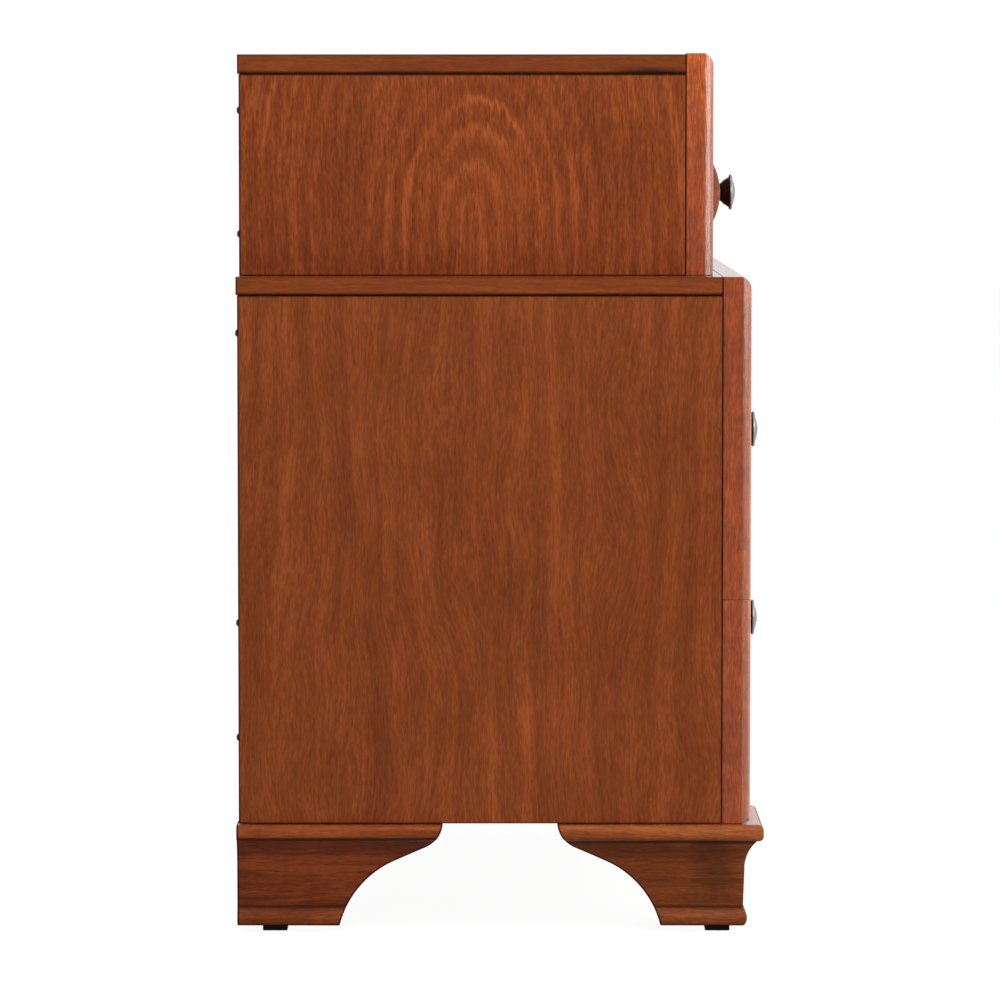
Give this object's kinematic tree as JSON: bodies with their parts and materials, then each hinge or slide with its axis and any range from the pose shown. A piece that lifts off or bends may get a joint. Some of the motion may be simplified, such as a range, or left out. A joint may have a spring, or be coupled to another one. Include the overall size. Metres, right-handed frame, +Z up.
{
  "type": "nightstand",
  "caption": "Two-tier nightstand in stained wood with an ogee-fronted upper drawer, flat lower drawers, metal knobs and moulded bracket feet.",
  "frame": {"origin": "on the floor, at the middle of the overall width and depth", "axes": "+X to the nightstand's left-to-right width as seen from its front, +Y towards the back, +Z up; the drawers open towards -Y"},
  "size_m": [0.682, 0.4683, 0.765],
  "materials": {
    "stained_veneer": "satin",
    "stained_frame": "satin",
    "birch": "satin",
    "panel": "matte",
    "knob": "antique",
    "steel": "plain",
    "glide": "matte"
  },
  "bodies": {
    "cabinet": {"upper_top": "stained_veneer", "upper_side_left": "stained_veneer", "upper_side_right": "stained_veneer", "upper_stile_left": "stained_frame", "upper_stile_right": "stained_frame", "upper_top_rail": "stained_frame", "upper_bottom_rail": "stained_frame", "upper_back_panel": "panel", "upper_runner_left": "birch", "upper_runner_right": "birch", "lower_top": "stained_veneer", "lower_side_left": "stained_veneer", "lower_side_right": "stained_veneer", "lower_stile_left_head": "stained_frame", "lower_stile_left_foot": "stained_frame", "lower_stile_right": "stained_frame", "lower_top_rail": "stained_frame", "lower_mid_rail": "stained_frame", "lower_bottom_rail": "stained_frame", "lower_back_panel": "panel", "case_bottom": "panel", "middle_runner_left": "birch", "middle_runner_right": "birch", "lower_runner_left": "birch", "lower_runner_right": "birch", "tier_screws": "steel", "back_screws": "steel", "foot_front_left_side": "stained_veneer", "foot_front_left_front": "stained_veneer", "foot_front_right_side": "stained_veneer", "foot_front_right_front": "stained_veneer", "foot_rear_left_side": "stained_veneer", "foot_rear_right_side": "stained_veneer", "foot_rear_boards": "stained_veneer", "foot_blocks": "birch", "glides": "glide"},
    "upper_drawer": {"upper_drawer_front": "stained_veneer", "upper_drawer_side_left": "birch", "upper_drawer_side_right": "birch", "upper_drawer_back": "birch", "upper_drawer_bottom": "birch", "upper_drawer_stop": "birch", "upper_knob": "knob", "upper_knob_screw": "steel"},
    "middle_drawer": {"middle_drawer_front": "stained_veneer", "middle_drawer_side_left": "birch", "middle_drawer_side_right": "birch", "middle_drawer_back": "birch", "middle_drawer_bottom": "birch", "middle_drawer_stop": "birch", "middle_knob": "knob", "middle_knob_screw": "steel"},
    "lower_drawer": {"lower_drawer_front": "stained_veneer", "lower_drawer_side_left": "birch", "lower_drawer_side_right": "birch", "lower_drawer_back": "birch", "lower_drawer_bottom": "birch", "lower_drawer_stop": "birch", "lower_knob": "knob", "lower_knob_screw": "steel"}
  },
  "joints": [
    {"name": "upper_drawer_slide", "type": "slide", "parent": "cabinet", "child": "upper_drawer", "axis": [0, -1, 0], "range_m": [0, 0.3385]},
    {"name": "middle_drawer_slide", "type": "slide", "parent": "cabinet", "child": "middle_drawer", "axis": [0, -1, 0], "range_m": [0, 0.3695]},
    {"name": "lower_drawer_slide", "type": "slide", "parent": "cabinet", "child": "lower_drawer", "axis": [0, -1, 0], "range_m": [0, 0.3695]}
  ]
}
